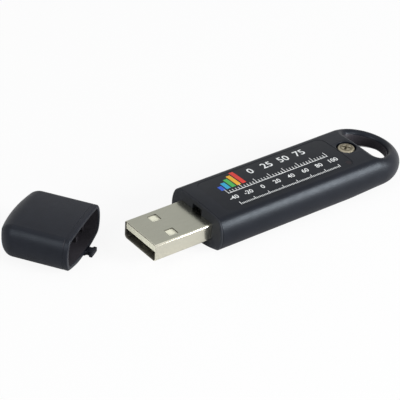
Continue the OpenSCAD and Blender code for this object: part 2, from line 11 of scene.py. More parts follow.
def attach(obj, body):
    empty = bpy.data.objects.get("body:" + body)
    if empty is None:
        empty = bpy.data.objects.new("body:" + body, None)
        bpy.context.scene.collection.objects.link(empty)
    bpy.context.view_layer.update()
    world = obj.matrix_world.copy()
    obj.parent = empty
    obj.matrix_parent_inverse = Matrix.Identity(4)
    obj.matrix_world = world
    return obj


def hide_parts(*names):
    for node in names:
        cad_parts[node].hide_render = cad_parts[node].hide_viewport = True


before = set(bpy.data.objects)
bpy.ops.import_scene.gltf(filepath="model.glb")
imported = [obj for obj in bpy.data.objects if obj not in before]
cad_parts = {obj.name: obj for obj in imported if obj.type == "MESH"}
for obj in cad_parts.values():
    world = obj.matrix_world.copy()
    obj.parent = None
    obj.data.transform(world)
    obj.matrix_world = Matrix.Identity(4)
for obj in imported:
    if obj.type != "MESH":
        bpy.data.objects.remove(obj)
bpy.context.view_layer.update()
MM = 0.001

# Case, as in the part's source
CASE_L = 59.3
CASE_W = 19.2
CASE_H = 9.6
WALL = 1.2
EDGE_R = 2.5
CROWN = 0.3
REST_W = 5.0
WAIST = 4.9
LEAN = 1.3
BELLY = 1.25
SIDE_TURN = 78
BEZEL_T = 1.0
RAKE = 0.6
TAIL_DROP = 2.3
TAIL_LIFT = 1.2
TAIL_WALL = 1.2
FRONT = -CASE_L / 2
TAIL = CASE_L / 2
SLEEVE_X = FRONT + BEZEL_T
RIDGE = TAIL - 11.0
LIFT = TAIL - 19.2
CAVITY_END = RIDGE - TAIL_WALL
TAIL_C = TAIL - CASE_W / 2
FIT = 0.15
SEAM = 0.06
PRESS = 0.03

# How far the ridge and the start of the rising underside are softened along the case
RIDGE_SOFT = 0.55
LIFT_SOFT = 1.5

# Keyring hole, smaller than in the part's source so that its rolled lip has room
HOLE_R = 6.35
HOLE_X = RIDGE + 1.15
HOLE_CORNER = 1.3
HOLE_UNDER = 4.5
LIP_AT_RIDGE = 2.5
LIP_AT_TAIL = 1.5
LIP_RUN = 3.0
FOOT_R = CASE_W / 2 - 0.9
FOOT_Z = BELLY + TAIL_LIFT
FOOT_BACK = 0.5

# Screw, label and light window
SCREW_X = TAIL - 14.4
SEAT_Z = CASE_H - 1.1
SINK_R = 2.45
PAD_R = 3.05
SCREW_HOLE_R = 1.15
RECESS_R = 1.5
LABEL_X = FRONT + 4.6
LABEL_L = 37.6
LABEL_W = 13.4
LABEL_R = 1.8
LABEL_RECESS = 0.2
LABEL_SINK = 0.05
PIPE_X = LABEL_X + LABEL_L - 1.05
PIPE_Y = -LABEL_W / 2 + 1.4
PIPE_HOLE_R = 0.73

# Plug. Its latch windows are a little larger than in the part's source
PLUG_W = 12.0
PLUG_H = 4.5
PLUG_Z = 4.85
PLUG_OUT = 15.3
PLUG_IN = 3.6
PLUG_WALL = 0.3
PLUG_TIP = FRONT - PLUG_OUT
PLUG_REAR = FRONT + PLUG_IN
FOLD_R = 0.45
LEAST_FOLD_R = 0.12
LATCH_X = PLUG_TIP + 6.2
LATCH_Y = 3.25
LATCH_L = 2.4
LATCH_W = 2.5
LATCH_R = 0.22
NOTCH_W = 3.4
NOTCH_L = 2.2
NOTCH_TOP = 8.55

# Cap, in its own place with its mouth at X = 0, then where it lies
CAP_L = 17.5
CAP_WALL = 1.1
CAP_END = 3.6
CAP_BOW = 1.4
CAP_BOW_RUN = 7.0
BOW_SHARE = 0.35
RIB_T = 0.8
RIB_X = -3.0
RIB_Y = 3.0
TAB_L = 2.0
TAB_Y = 1.6
TAB_HEAD = 3.0
TAB_NECK = 1.9
CAP_AT = Vector((FRONT - 25.2, 7.8, 0))
CAP_TURN = math.radians(-57)

# Points along the four arcs of the cross-section, from the underside to the crown
BELLY_STEPS = 8
SIDE_STEPS = 12
EDGE_STEPS = 18
CROWN_STEPS = 7

# Reach of a cut past the face that it opens
OVER = 2


# Outlines
def cos(degrees):
    return math.cos(math.radians(degrees))


def sin(degrees):
    return math.sin(math.radians(degrees))


def spread(low, high, steps):
    """Evenly spaced values from low to high."""
    return [low + (high - low) * i / steps for i in range(steps + 1)]


def arc(cx, cy, r, start, end, steps, tall=None):
    """Points of a circle, or of an oval where its half height is given, between two angles."""
    return [(cx + r * cos(a), cy + (tall or r) * sin(a)) for a in spread(start, end, steps)]


def belly_centre(corner_y, flat, belly):
    """Height of the centre of the arc between the resting strip and the side."""
    return (corner_y ** 2 - flat ** 2 + belly ** 2) / (2 * belly)


def crown_radius(top_y, crown):
    """Radius of the arc over the top, from its half width and its rise."""
    return (top_y ** 2 + crown ** 2) / (2 * crown)


def section(d=0.0):
    """Cross-section of the case or the cap, set in by d: (y, z) points from the floor's right
    end up the right side, over the crown and down the left side. The sides round off above and
    below their widest line."""
    w = CASE_W - 2 * d
    h = CASE_H - 2 * d
    scale = h / CASE_H
    belly = BELLY * scale
    crown = CROWN * scale
    waist = WAIST * scale
    r = max(EDGE_R - d, EDGE_R / 4)
    flat = (REST_W - REST_W * d / CASE_H) / 2
    corner_y = w / 2 - LEAN * scale
    top_y = w / 2 - r
    belly_z = belly_centre(corner_y, flat, belly)
    crown_r = crown_radius(top_y, crown)
    floor_end = math.degrees(math.atan2(-belly_z, flat))
    corner = math.degrees(math.atan2(belly - belly_z, corner_y))
    side_w = LEAN * scale / (1 - cos(SIDE_TURN))
    side_h = (waist - belly) / sin(SIDE_TURN)
    crown_end = math.degrees(math.acos(top_y / crown_r))
    half = arc(0, belly_z, math.hypot(flat, belly_z), floor_end, corner, BELLY_STEPS)
    half += arc(w / 2 - side_w, waist, side_w, -SIDE_TURN, 0, SIDE_STEPS, side_h)[1:]
    half += arc(top_y, waist, r, 0, 90, EDGE_STEPS, h - crown - waist)[1:]
    half += arc(0, h - crown_r, crown_r, crown_end, 90, CROWN_STEPS)[1:]
    return [(y, z + d) for y, z in half] + [(-y, z + d) for y, z in half[-2::-1]]


def smooth_ramp(x, at, blend):
    """0 before at, then x - at, with a soft change over blend on both sides."""
    if x <= at - blend:
        return 0.0
    if x >= at + blend:
        return x - at
    return (x - at + blend) ** 2 / (4 * blend)


def shaped(x, y, z):
    """Squeezes the cross-section between the rising floor and the falling top of the tail."""
    drop = TAIL_DROP / (TAIL - RIDGE) * smooth_ramp(x, RIDGE, RIDGE_SOFT)
    lift = TAIL_LIFT / (TAIL - LIFT) * smooth_ramp(x, LIFT, LIFT_SOFT)
    return (x, y, z + lift - (lift + drop) * z / CASE_H)


def top_z(x, y):
    """Height of the case's upper surface at a place."""
    reach = min(math.hypot(max(x - TAIL_C, 0), y), CASE_W / 2)
    top_y = CASE_W / 2 - EDGE_R
    if reach <= top_y:
        crown_r = crown_radius(top_y, CROWN)
        z = CASE_H - crown_r + math.sqrt(crown_r ** 2 - reach ** 2)
    else:
        fall = math.sqrt(max(1 - ((reach - top_y) / EDGE_R) ** 2, 0))
        z = WAIST + (CASE_H - CROWN - WAIST) * fall
    return shaped(x, y, z)[2]


def round_box(x0, y0, x1, y1, r, steps):
    """Plan outline of a rectangle with round corners."""
    corners = ((x1 - r, y1 - r, 0), (x0 + r, y1 - r, 90), (x0 + r, y0 + r, 180), (x1 - r, y0 + r, 270))
    return [p for cx, cy, a in corners for p in arc(cx, cy, r, a, a + 90, steps)]


# Meshes
def mesh_of(name, verts, faces):
    mesh = bpy.data.meshes.new(name)
    mesh.from_pydata([tuple(v) for v in verts], [], faces)
    mesh.update()
    return mesh


def mesh_from(name, bm):
    """Mesh with the shape of a bmesh, which is freed."""
    mesh = bpy.data.meshes.new(name)
    bm.to_mesh(mesh)
    bm.free()
    return mesh


def skin(rings, first=True, last=True):
    """Points and faces through rings of equally many points, closed at the first and the last."""
    n = len(rings[0])
    verts = [p for ring in rings for p in ring]
    faces = [(k * n + j, (k + 1) * n + j, (k + 1) * n + (j + 1) % n, k * n + (j + 1) % n)
             for k in range(len(rings) - 1) for j in range(n)]
    if first:
        faces.append(tuple(range(n)))
    if last:
        faces.append(tuple((len(rings) - 1) * n + j for j in reversed(range(n))))
    return verts, faces


def solid(name, verts, faces):
    """Mesh with coinciding points merged and normals outward."""
    bm = bmesh.new()
    points = [bm.verts.new(v) for v in verts]
    for face in faces:
        bm.faces.new([points[i] for i in face])
    bmesh.ops.remove_doubles(bm, verts=bm.verts, dist=1e-5)
    bmesh.ops.dissolve_degenerate(bm, edges=bm.edges, dist=1e-6)
    bmesh.ops.recalc_face_normals(bm, faces=bm.faces)
    return mesh_from(name, bm)


def add_object(name, data):
    made = bpy.data.objects.new(name, data)
    bpy.context.scene.collection.objects.link(made)
    return made


def evaluated(holder):
    """Mesh of an object with its modifiers applied, after which the object is removed."""
    graph = bpy.context.evaluated_depsgraph_get()
    graph.update()
    mesh = bpy.data.meshes.new_from_object(holder.evaluated_get(graph))
    bpy.data.objects.remove(holder)
    return mesh


def combine(mesh, others, how="DIFFERENCE"):
    """Boolean of one mesh with others, one after another."""
    for other in others:
        kept = add_object("work_kept", mesh)
        tool = add_object("work_tool", other)
        cut = kept.modifiers.new("cut", "BOOLEAN")
        cut.operation = how
        cut.solver = "EXACT"
        cut.object = tool
        mesh = evaluated(kept)
        bpy.data.objects.remove(tool)
    return mesh


def beveled(mesh, width, angle=40):
    """Rounds the sharp edges of a small mesh."""
    holder = add_object("work", mesh)
    rounding = holder.modifiers.new("round", "BEVEL")
    rounding.width = width
    rounding.segments = 2
    rounding.limit_method = "ANGLE"
    rounding.angle_limit = math.radians(angle)
    rounding.use_clamp_overlap = True
    return evaluated(holder)


def joined(name, *meshes):
    bm = bmesh.new()
    for mesh in meshes:
        bm.from_mesh(mesh)
    return mesh_from(name, bm)


def block(low, high):
    """Box between two corners."""
    (x0, y0, z0), (x1, y1, z1) = low, high
    plan = [(x0, y0), (x1, y0), (x1, y1), (x0, y1)]
    verts = [(x, y, z) for z in (z0, z1) for x, y in plan]
    faces = [(3, 2, 1, 0), (4, 5, 6, 7), (0, 1, 5, 4), (1, 2, 6, 5), (2, 3, 7, 6), (3, 0, 4, 7)]
    return mesh_of("block", verts, faces)


def prism(outline, z0, z1):
    """Upright prism over a plan outline."""
    return solid("prism", *skin([[(x, y, z) for x, y in outline] for z in (z0, z1)]))


def along_x(outline, x0, x1):
    """Prism along X over a (y, z) outline."""
    return solid("along", *skin([[(x, y, z) for y, z in outline] for x in (x0, x1)]))


def turned(profile, steps=64, at=(0, 0, 0)):
    """Solid of revolution about an upright axis, from (radius, height) points."""
    n = len(profile)
    verts = []
    faces = []
    for k in range(steps):
        a = 360 * k / steps
        here = k * n
        beside = (k + 1) % steps * n
        verts += [(r * cos(a), r * sin(a), z) for r, z in profile]
        faces += [(here + j, beside + j, beside + j + 1, here + j + 1) for j in range(n - 1)]
    mesh = solid("turned", verts, faces)
    mesh.transform(Matrix.Translation(Vector(at)))
    return mesh


def rod(x, y, r, z0, z1):
    """Upright cylinder."""
    return turned([(0, z0), (r, z0), (r, z1), (0, z1)], 32, (x, y, 0))


def piece(name, mesh, body, finish, nodes, sharp, at=None, others=()):
    """Stores a mesh in metres as a smooth-shaded object that rides on a body. others are finishes
    with tests: a face takes the first whose test picks its centre and normal, in millimetres."""
    stored = mesh.copy()
    stored.name = name
    if at is not None:
        stored.transform(at)
    stored.transform(Matrix.Scale(MM, 4))
    stored.shade_smooth()
    stored.set_sharp_from_angle(angle=math.radians(sharp))
    stored.materials.clear()
    stored.materials.append(finish)
    for other, test in others:
        stored.materials.append(other)
    for face, drawn in zip(stored.polygons, mesh.polygons):
        picked = [i + 1 for i, (other, test) in enumerate(others) if test(drawn.center, drawn.normal)]
        face.material_index = picked[0] if picked else 0
    o = add_object(name, stored)
    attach(o, body)
    if nodes:
        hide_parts(*nodes)


# Materials
def add_node(tree, kind, values=None):
    """New shader node whose inputs take the given values."""
    node = tree.nodes.new("ShaderNode" + kind)
    for socket, value in (values or {}).items():
        node.inputs[socket].default_value = value
    return node


def color_mix(tree, factor, one, other):
    """Mix of two colours by a factor between them."""
    mix = tree.nodes.new("ShaderNodeMix")
    mix.data_type = "RGBA"
    mix.inputs["A"].default_value = (*one, 1)
    mix.inputs["B"].default_value = (*other, 1)
    tree.links.new(factor, mix.inputs["Factor"])
    return mix.outputs["Result"]


def material(name, color, rough, metallic=0.0, spec=0.5, grain=0.003, grain_size=0.25, spots=0.06,
             spot_size=3.0, rough_spread=0.08, coat=0.0, stretch=(1, 1, 1), sheen=(1, 1, 1)):
    """Plastic or metal with colour spots, uneven gloss and a fine grain. Sizes are in mm."""
    made = bpy.data.materials.new(name)
    made.use_nodes = True
    tree = made.node_tree
    link = tree.links.new
    tree.nodes.clear()
    out = add_node(tree, "OutputMaterial")
    shader = add_node(tree, "BsdfPrincipled", {
        "Metallic": metallic, "Specular IOR Level": spec, "Specular Tint": (*sheen, 1),
        "Coat Weight": coat, "Coat Roughness": 0.15,
    })
    place = add_node(tree, "TexCoord")
    scale = add_node(tree, "Mapping", {"Scale": stretch})
    link(shader.outputs[0], out.inputs[0])
    link(place.outputs["Object"], scale.inputs["Vector"])

    def noise(size, detail=3.0):
        texture = add_node(tree, "TexNoise", {"Scale": 1 / (size * MM), "Detail": detail})
        link(scale.outputs[0], texture.inputs["Vector"])
        return texture.outputs["Fac"]

    dark = [max(0, c * (1 - 2 * spots)) for c in color]
    light = [min(1, c * (1 + 4 * spots)) for c in color]
    link(color_mix(tree, noise(spot_size), dark, light), shader.inputs["Base Color"])
    gloss = add_node(tree, "MapRange", {
        "To Min": max(0.02, rough - rough_spread), "To Max": min(1, rough + rough_spread),
    })
    link(noise(spot_size * 0.6), gloss.inputs["Value"])
    link(gloss.outputs[0], shader.inputs["Roughness"])
    bump = add_node(tree, "Bump", {"Strength": 1.0, "Distance": grain * MM})
    link(noise(grain_size, 2.0), bump.inputs["Height"])
    link(bump.outputs[0], shader.inputs["Normal"])
    return made


# Tint of the shine on the dark plastics
COOL = (0.80, 0.90, 1.0)
plastic = material("case_plastic_fine", (0.0045, 0.005, 0.008), rough=0.37, spec=0.25, grain=0.018,
                   grain_size=0.30, spots=0.15, sheen=COOL)
cap_plastic = material("cap_plastic_fine", (0.007, 0.0075, 0.0115), rough=0.39, spec=0.24,
                       grain=0.018, grain_size=0.30, spots=0.15, sheen=COOL)
# Lighter plastic for the bezel and tray: partly a shade of its own moulding, partly painted light on
# the front face that the lamps leave dark
bezel_plastic_painted_light = material("bezel_plastic_lighter_painted_light", (0.017, 0.018, 0.022), rough=0.42, spec=0.25,
                         grain=0.018, grain_size=0.30, spots=0.15, sheen=COOL)
# Lighter copy of the cap plastic for faces inside the cap: painted light where the lamps leave the
# hollow dark
cap_inside_painted_light = material("cap_plastic_inside_painted_light", (0.026, 0.024, 0.029), rough=0.55, spec=0.25,
                      grain=0.015, grain_size=0.3, spots=0.12)
# Lighter copy of the case plastic for the walls inside the keyring hole: painted light where the lamps
# leave the hollow dark
case_inside_painted_light = material("case_plastic_inside_painted_light", (0.026, 0.024, 0.029), rough=0.55, spec=0.25,
                       grain=0.015, grain_size=0.3, spots=0.12)
film = material("label_film_black", (0.005, 0.0055, 0.008), rough=0.36, spec=0.22, grain=0.004,
                grain_size=0.5, spots=0.10, sheen=COOL)
window = material("light_window", (0.010, 0.006, 0.008), rough=0.30, spec=0.25, grain=0.002,
                  spots=0.05, sheen=COOL)
ink_white = material("ink_white", (0.86, 0.88, 0.88), rough=0.5, spots=0.02)
cream = material("tongue_cream", (0.88, 0.87, 0.70), rough=0.45, grain=0.004, spots=0.03)
nickel = material("plug_nickel", (0.66, 0.64, 0.54), rough=0.20, metallic=1.0, grain=0.0010,
                  grain_size=0.12, spots=0.015, rough_spread=0.06, stretch=(1, 6, 6))
# Darker copy of the nickel for the plug's flat top: painted shade that stands in for the dark
# reflections on it
nickel_top_painted_shade = material("plug_nickel_top_painted_shade", (0.41, 0.412, 0.345), rough=0.22, metallic=1.0,
                       grain=0.0010, grain_size=0.12, spots=0.02, rough_spread=0.06,
                       stretch=(1, 6, 6))
# Dark nickel for the plug's inside and the cut edges of its latch windows: painted shade for the unlit
# hollow and the shadow in the windows
nickel_painted_shade = material("plug_nickel_painted_shade", (0.16, 0.155, 0.14), rough=0.45, metallic=1.0,
                         grain=0.004, grain_size=0.12, spots=0.05)
screw_metal = material("screw_zinc", (0.33, 0.30, 0.225), rough=0.46, metallic=1.0, grain=0.006,
                       grain_size=0.15, spots=0.08, spot_size=0.8)
# Darker zinc for the cross recess: painted shade for the shadow in the slots
screw_recess_painted_shade = material("screw_zinc_recess_painted_shade", (0.16, 0.14, 0.10), rough=0.55, metallic=1.0,
                      grain=0.006, grain_size=0.15, spots=0.08, spot_size=0.8)
gold = material("contact_gold", (0.83, 0.62, 0.26), rough=0.25, metallic=1.0, grain=0.002, spots=0.03)
brass = material("insert_brass", (0.78, 0.57, 0.25), rough=0.30, metallic=1.0, grain=0.006, spots=0.05)
tin = material("tin_can", (0.70, 0.70, 0.71), rough=0.28, metallic=1.0, grain=0.004, spots=0.04)
cell_steel = material("cell_steel", (0.74, 0.75, 0.76), rough=0.27, metallic=1.0, grain_size=0.1,
                      spots=0.03, stretch=(1, 12, 1))
strip_steel = material("strip_steel", (0.72, 0.69, 0.60), rough=0.30, metallic=1.0, spots=0.04,
                       stretch=(1, 8, 1))
green_board = material("board_green", (0.02, 0.16, 0.06), rough=0.32, grain=0.008, grain_size=0.5,
                       spots=0.12, spot_size=1.2, coat=0.3)
resin = material("chip_resin", (0.02, 0.02, 0.022), rough=0.55, grain=0.01, grain_size=0.08,
                 spots=0.10)
sensor = material("sensor_resin", (0.03, 0.03, 0.04), rough=0.30, grain=0.006, spots=0.08, coat=0.4)
red_lens = material("red_lens", (0.65, 0.03, 0.02), rough=0.25, spots=0.05, coat=0.3)
green_lens = material("green_lens", (0.08, 0.55, 0.10), rough=0.25, spots=0.05, coat=0.3)
glaze = material("resistor_glaze", (0.02, 0.02, 0.025), rough=0.25, grain=0.004, spots=0.08)
ceramic = material("capacitor_ceramic", (0.42, 0.30, 0.17), rough=0.5, grain=0.006)


# Case
def case_rings(places):
    """Rings of the case's shape, each given as (its place along X, how far it is set in)."""
    return [[shaped(x, y, z) for y, z in section(d)] for x, d in places]


def case_outer():
    """Outer shape behind the bezel: straight rings, then rings that swing round the tail."""
    swing_steps = 40
    front_edge = [(SLEEVE_X, 0.07), (SLEEVE_X + 0.05, 0.02), (SLEEVE_X + 0.15, 0)]
    xs = spread(LIFT - LIFT_SOFT, LIFT + LIFT_SOFT, 6)
    xs += [*spread(RIDGE - RIDGE_SOFT, RIDGE + RIDGE_SOFT, 8), TAIL_C]
    rings = case_rings(front_edge + [(x, 0) for x in xs])
    profile = section()
    for a in spread(0, 90, swing_steps)[1:]:
        rings.append([shaped(TAIL_C + abs(y) * sin(a), y * cos(a), z) for y, z in profile])
    return solid("case_outer", *skin(rings, last=False))


def case_inner():
    """Hollow of the case, less the pad under the screw's head."""
    room = solid("case_inner", *skin(case_rings([(x, WALL) for x in (FRONT, LIFT, CAVITY_END)])))
    low, chamfer = SEAT_Z - WALL, 0.15
    pad = turned([(0, low), (PAD_R - chamfer, low), (PAD_R, low + chamfer), (PAD_R, CASE_H),
                  (0, CASE_H)], at=(SCREW_X, 0, 0))
    return combine(room, [pad])


def loop_outline(grow=0.0, r=HOLE_R, corner=HOLE_CORNER, x0=HOLE_X, mid=TAIL_C):
    """Plan of the keyring hole: straight at the ridge, round at the tail."""
    cx = x0 + corner
    cy = math.sqrt((r - corner) ** 2 - (cx - mid) ** 2)
    a = math.degrees(math.atan2(cy, cx - mid))
    points = arc(cx, -cy, corner + grow, -180, -a, 20)
    points += arc(mid, 0, r + grow, -a, a, 44)[1:]
    points += arc(cx, cy, corner + grow, a, 180, 20)[1:]
    return points


def ring_outline(x, y, r, steps=48):
    """Plan of a round hole, as a function of how far it is grown."""
    return lambda grow: arc(x, y, r + grow, 0, 360 - 360 / steps, steps - 1)


def flared(outline, radius, low):
    """Cutter with a rounded lip that follows the case's upper surface. outline gives its plan
    grown by a length, and radius gives the lip's radius at a place along X."""
    base, grown = outline(0), outline(1)
    past, slope = 0.3, 16

    def ring(turn, extra=0, top=None):
        points = []
        for (x, y), (gx, gy) in zip(base, grown):
            r = radius(x)
            out = r * (1 - cos(turn)) + extra
            depth = r * (1 - sin(turn)) - extra * math.tan(math.radians(slope))
            px = x + (gx - x) * out
            py = y + (gy - y) * out
            points.append((px, py, top or top_z(px, py) - depth))
        return points

    turns = range(0, 75, 8)
    rings = [[(x, y, low) for x, y in base]] + [ring(turn) for turn in turns]
    rings += [ring(turns[-1], past), ring(turns[-1], past, CASE_H + OVER)]
    return solid("flared", *skin(rings))


def loop_lip(x):
    """The hole's lip rolls over wide along the ridge and is tighter round the tail."""
    far = min(1, max(0, (x - HOLE_X) / LIP_RUN))
    return LIP_AT_RIDGE - (LIP_AT_RIDGE - LIP_AT_TAIL) * far * far * (3 - 2 * far)


def loop_hollow():
    """Hollow under the rim of the loop."""
    wide = (FOOT_R, FOOT_BACK)
    rings = []
    # Upright at the foot, then narrower up to the rim's underside, and on into the hole
    for z, (r, back) in ((-1, wide), (FOOT_Z, wide), (HOLE_UNDER - 0.3, (HOLE_R + 0.3, 0)),
                         (HOLE_UNDER + 0.25, (HOLE_R - 0.5, 0))):
        plan = loop_outline(0, r, 0.8, RIDGE + 0.6, TAIL_C + back)
        rings.append([(x, y, z) for x, y in plan])
    return solid("loop_hollow", *skin(rings))


def label_outline(grow):
    x0, y0, x1, y1 = LABEL_X, -LABEL_W / 2, LABEL_X + LABEL_L, LABEL_W / 2
    return round_box(x0 - grow, y0 - grow, x1 + grow, y1 + grow, LABEL_R + grow, 10)


def crown_slab(upper, lower):
    """Slab over the whole case whose top and bottom follow the crown at two depths."""
    half_w, crown_half_w = 8, 6.9

    def crown(y):
        return top_z(0, y) if abs(y) < crown_half_w else CASE_H - CROWN

    ys = spread(-half_w, half_w, 40)
    loop = [(y, crown(y) - upper) for y in ys] + [(y, crown(y) - lower) for y in reversed(ys)]
    return along_x(loop, -30, 22)


def label_prism(grow, upper):
    """The label's outline, cut to the crown between a depth and the floor of its recess."""
    below, above = 7, 14
    tall = prism(label_outline(grow), below, above)
    return combine(tall, [crown_slab(upper, LABEL_RECESS)], "INTERSECT")


def inside_loop(c, n):
    """Walls of the keyring hole under its lip."""
    inward = n.x * (c.x - TAIL_C) + n.y * c.y < 0 or n.x > 0.5
    in_loop = c.x > RIDGE and math.hypot(c.x - TAIL_C, c.y) < FOOT_R + 0.1
    return in_loop and inward and abs(n.z) < 0.7 and c.z < top_z(c.x, c.y) - 1.0


slot_half_w = TAB_HEAD / 2 + 2 * FIT
tab_slot = block((FRONT - OVER, TAB_Y - slot_half_w, -OVER),
                 (FRONT + TAB_L + 2 * FIT, TAB_Y + slot_half_w, CAP_WALL + FIT))
pipe_hole = rod(PIPE_X, PIPE_Y, PIPE_HOLE_R, 6, 12)
sleeve = combine(case_outer(), [
    case_inner(),
    loop_hollow(),
    flared(loop_outline, loop_lip, -1),
    flared(ring_outline(SCREW_X, 0, SINK_R), lambda x: 0.16, SEAT_Z),
    rod(SCREW_X, 0, SCREW_HOLE_R, 4, 12),
    pipe_hole,
    label_prism(SEAM, -5),
    tab_slot,
])
# The walls inside the keyring hole take the lighter plastic, which is painted light
piece("case_sleeve_moulded", sleeve, "logger", plastic, ["case_sleeve"], 30,
      others=[(case_inside_painted_light, inside_loop)])


# Bezel and tray
def bezel():
    """Front plate with a leaning face, rounded along its front edge."""
    back = SLEEVE_X - 0.14
    roll_part = 0.75
    outer, inner = section(), section(0.6)
    rings = [[(SLEEVE_X - SEAM, y, z) for y, z in section(0.07)], [(back, y, z) for y, z in outer]]
    for turn in range(0, 91, 15):
        ring = []
        for (y, z), (inner_y, inner_z) in zip(outer, inner):
            front = FRONT + RAKE * z / CASE_H
            r = roll_part * (back - front)
            k = (1 - cos(turn)) * min(1, r / 0.4)
            ring.append((front + r * (1 - sin(turn)), y + (inner_y - y) * k,
                         z + (inner_z - z) * k))
        rings.append(ring)
    return solid("bezel", *skin(rings))


def plug_outline(d):
    """Cross-section of the plug, set in by d, with fuller folds along the underside."""
    w = PLUG_W / 2 - d
    h = PLUG_H / 2 - d
    up = max(FOLD_R - d, LEAST_FOLD_R)
    low = max(2 * FOLD_R - d, LEAST_FOLD_R)
    corners = ((w - up, h - up, up, 0), (up - w, h - up, up, 90), (low - w, low - h, low, 180),
               (w - low, low - h, low, 270))
    return [p for y, z, r, a in corners for p in arc(y, PLUG_Z + z, r, a, a + 90, 6)]


def tray():
    """The CAD chassis behind its front plate, closed where it is cut off."""
    bm = bmesh.new()
    bm.from_mesh(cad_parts["chassis"].data)
    bmesh.ops.scale(bm, vec=(1 / MM,) * 3, verts=bm.verts)
    rim = bmesh.ops.bisect_plane(bm, geom=bm.verts[:] + bm.edges[:] + bm.faces[:], dist=1e-5,
                                 plane_co=(SLEEVE_X - 0.05, 0, 0), plane_no=(1, 0, 0),
                                 clear_inner=True)["geom_cut"]
    bmesh.ops.triangle_fill(bm, use_beauty=True, normal=(-1, 0, 0),
                            edges=[e for e in rim if isinstance(e, bmesh.types.BMEdge)])
    return mesh_from("tray", bm)


notch = beveled(block((FRONT - OVER, -NOTCH_W / 2, PLUG_Z),
                      (FRONT + NOTCH_L, NOTCH_W / 2, NOTCH_TOP)), 0.15)
plug_hole = along_x(plug_outline(-PRESS), FRONT - OVER, SLEEVE_X + OVER)
plate = combine(bezel(), [plug_hole, notch, tab_slot])
# The bezel and tray take the lighter plastic, which is partly painted light
piece("chassis_with_bezel", joined("chassis", plate, tray()), "logger", bezel_plastic_painted_light,
      ["chassis"], 32)


# Label and its print: a plain temperature scale with two rulers, numbers and five coloured bars
label = combine(label_prism(0, LABEL_SINK), [pipe_hole])
piece("label_film", label, "logger", film, ["label"], 40)

SCALE_X0 = FRONT + 9.0
SCALE_X1 = FRONT + 38.4
INK_LOW = 0.002
INK_TOP = 0.012
DIGIT_TOP = 0.014
TICK_HALF_W = 0.08
PRINT_STEP = 0.8
RULER_Y = -0.6
SCALE_NUMBER_Y = -2.7
SCALE_NUMBER_SIZE = 1.9
EDGE_RULER_Y = -5.7
TOP_NUMBER_X = FRONT + 19.0
TOP_NUMBER_STEP = 4.9
TOP_NUMBER_Y = 4.1
TOP_NUMBER_SIZE = 3.1


def printed_box(x0, y0, x1, y1):
    """Printed rectangle that follows the crown."""
    n = max(1, int(abs(y1 - y0) / PRINT_STEP) + 1)
    verts = []
    faces = []
    for y in spread(y0, y1, n):
        z = top_z(0, y) - LABEL_SINK
        low, top = z + INK_LOW, z + INK_TOP
        verts += [(x0, y, low), (x1, y, low), (x1, y, top), (x0, y, top)]
    for i in range(n):
        a, b = 4 * i, 4 * i + 4
        faces += [(a + 3, a + 2, b + 2, b + 3), (a, a + 3, b + 3, b), (a + 2, a + 1, b + 1, b + 2),
                  (a + 1, a, b, b + 1)]
    faces += [(0, 1, 2, 3), (4 * n + 3, 4 * n + 2, 4 * n + 1, 4 * n)]
    return solid("printed_box", verts, faces)


def printed_number(digits, x, y, size):
    """Plain digits as a thin mesh on the label."""
    curve = bpy.data.curves.new("digits", "FONT")
    curve.body = digits
    curve.size = size
    curve.align_x = "CENTER"
    curve.align_y = "CENTER"
    curve.resolution_u = 3
    curve.offset = size * 0.012
    mesh = evaluated(add_object("digits", curve))
    for v in mesh.vertices:
        px, py = v.co.x + x, v.co.y + y
        v.co = (px, py, top_z(0, py) - LABEL_SINK + DIGIT_TOP)
    return mesh


def ruler(y, count, every, short, tall, line=0.0):
    """Row of ticks along the scale, each one in every taller, over an optional line."""
    out = []
    for i, x in enumerate(spread(SCALE_X0, SCALE_X1, count)):
        height = short if i % every else tall
        out.append(printed_box(x - TICK_HALF_W, y, x + TICK_HALF_W, y + height))
    if line:
        out.append(printed_box(SCALE_X0 - TICK_HALF_W, y - line, SCALE_X1 + TICK_HALF_W, y))
    return out


white = ruler(RULER_Y, count=35, every=5, short=0.85, tall=1.7, line=0.18)
white += ruler(EDGE_RULER_Y, count=70, every=10, short=0.5, tall=1.1)
for i, x in enumerate(spread(SCALE_X0, SCALE_X1, 7)):
    white.append(printed_number(str(20 * i - 40), x, SCALE_NUMBER_Y, SCALE_NUMBER_SIZE))
for i in range(4):
    x = TOP_NUMBER_X + TOP_NUMBER_STEP * i
    white.append(printed_number(str(25 * i), x, TOP_NUMBER_Y, TOP_NUMBER_SIZE))
piece("label_print_white", joined("white", *white), "logger", ink_white, (), 40)

BARS = (("cold", (0.02, 0.10, 0.60)), ("cool", (0.02, 0.38, 0.62)), ("mild", (0.05, 0.42, 0.08)),
        ("warm", (0.80, 0.42, 0.02)), ("hot", (0.66, 0.03, 0.02)))
BAR_X = FRONT + 8.2
BAR_Y = 0.9
BAR_W = 1.15
BAR_H = 1.8
BAR_STEP = 1.5
BAR_RISE = 0.9
for i, (word, tone) in enumerate(BARS):
    x = BAR_X + BAR_STEP * i
    bar = printed_box(x, BAR_Y, x + BAR_W, BAR_Y + BAR_H + BAR_RISE * i)
    piece("label_print_" + word, bar, "logger", material("ink_" + word, tone, 0.45, spots=0.03), (),
          40)


# Screw
def recess_wing(turn):
    """One of the two crossing slots, narrower at its floor."""
    def oblong(half_l, half_w, z):
        return [(-half_l, -half_w, z), (half_l, -half_w, z), (half_l, half_w, z),
                (-half_l, half_w, z)]

    wing = solid("wing", *skin([oblong(0.7, 0.18, 0.42), oblong(RECESS_R, 0.42, 1.5)]))
    wing.transform(Matrix.Rotation(math.radians(turn), 4, "Z"))
    return wing


def in_recess(c, n):
    """Walls and floor of the cross recess."""
    return math.hypot(c.x - SCREW_X, c.y) < RECESS_R and SEAT_Z + 0.3 < c.z < SEAT_Z + 1.04


